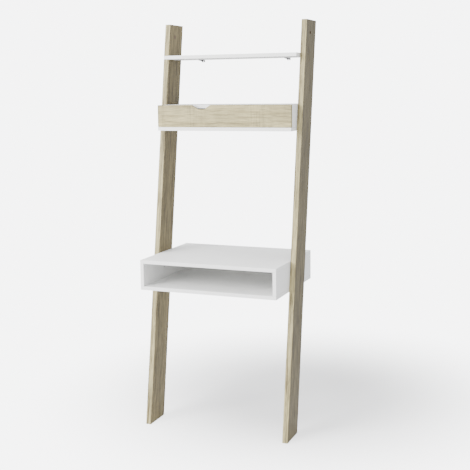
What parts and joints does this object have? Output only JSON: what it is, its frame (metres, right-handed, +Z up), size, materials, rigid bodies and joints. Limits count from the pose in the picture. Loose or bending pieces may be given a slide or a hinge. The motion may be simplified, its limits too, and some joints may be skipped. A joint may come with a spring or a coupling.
{
  "type": "ladder shelf",
  "caption": "Wall-leaning ladder shelf: slanted wood-decor uprights carry an open-front desk box, a drawer with a finger notch, and a top shelf on wall brackets.",
  "frame": {"origin": "Centre of the bounding box on the floor, Z = 0 under the uprights' feet", "axes": "+Z up; -Y is the front the user faces; +Y is the wall; +X is the user's right; metres"},
  "size_m": [0.7, 0.4989, 1.86],
  "materials": {
    "oak_decor": "matt printed oak decor on board, fine lengthwise grain",
    "white_board": "white satin foil on board",
    "hardboard": "white-faced hardboard",
    "runner_nylon": "white moulded nylon",
    "dark_steel": "dark coated steel strip",
    "zinc_steel": "zinc plated",
    "beech": "bare beech"
  },
  "bodies": {
    "ladder": {"bracket_screw_left": "zinc_steel", "bracket_screw_right": "zinc_steel", "case_back": "white_board", "case_bottom": "white_board", "case_bottom_dowel_left_front": "beech", "case_bottom_dowel_left_rear": "beech", "case_bottom_dowel_right_front": "beech", "case_bottom_dowel_right_rear": "beech", "case_screw_left_front": "zinc_steel", "case_screw_left_rear": "zinc_steel", "case_screw_right_front": "zinc_steel", "case_screw_right_rear": "zinc_steel", "case_side_left": "white_board", "case_side_right": "white_board", "case_top": "white_board", "case_top_dowel_left": "beech", "case_top_dowel_right": "beech", "desk_back": "white_board", "desk_bottom": "white_board", "desk_bottom_dowel_left_front": "beech", "desk_bottom_dowel_left_rear": "beech", "desk_bottom_dowel_right_front": "beech", "desk_bottom_dowel_right_rear": "beech", "desk_screw_left_front": "zinc_steel", "desk_screw_left_rear": "zinc_steel", "desk_screw_right_front": "zinc_steel", "desk_screw_right_rear": "zinc_steel", "desk_side_left": "white_board", "desk_side_right": "white_board", "desk_top": "white_board", "desk_top_dowel_left_front": "beech", "desk_top_dowel_left_rear": "beech", "desk_top_dowel_right_front": "beech", "desk_top_dowel_right_rear": "beech", "drawer_stop": "beech", "runner_left": "runner_nylon", "runner_right": "runner_nylon", "shelf_dowel_left_front": "beech", "shelf_dowel_left_rear": "beech", "shelf_dowel_right_front": "beech", "shelf_dowel_right_rear": "beech", "top_shelf": "white_board", "upright_left": "oak_decor", "upright_right": "oak_decor", "wall_bracket_left": "dark_steel", "wall_bracket_right": "dark_steel"},
    "drawer": {"drawer_front": "oak_decor", "drawer_side_left": "white_board", "drawer_side_right": "white_board", "drawer_back": "white_board", "drawer_bottom": "hardboard", "drawer_dowel_left_low": "beech", "drawer_dowel_left_high": "beech", "drawer_dowel_right_low": "beech", "drawer_dowel_right_high": "beech"}
  },
  "joints": [
    {"name": "drawer_slide", "type": "slide", "parent": "ladder", "child": "drawer", "axis": [0, -1, 0], "range_m": [0, 0.175]}
  ]
}
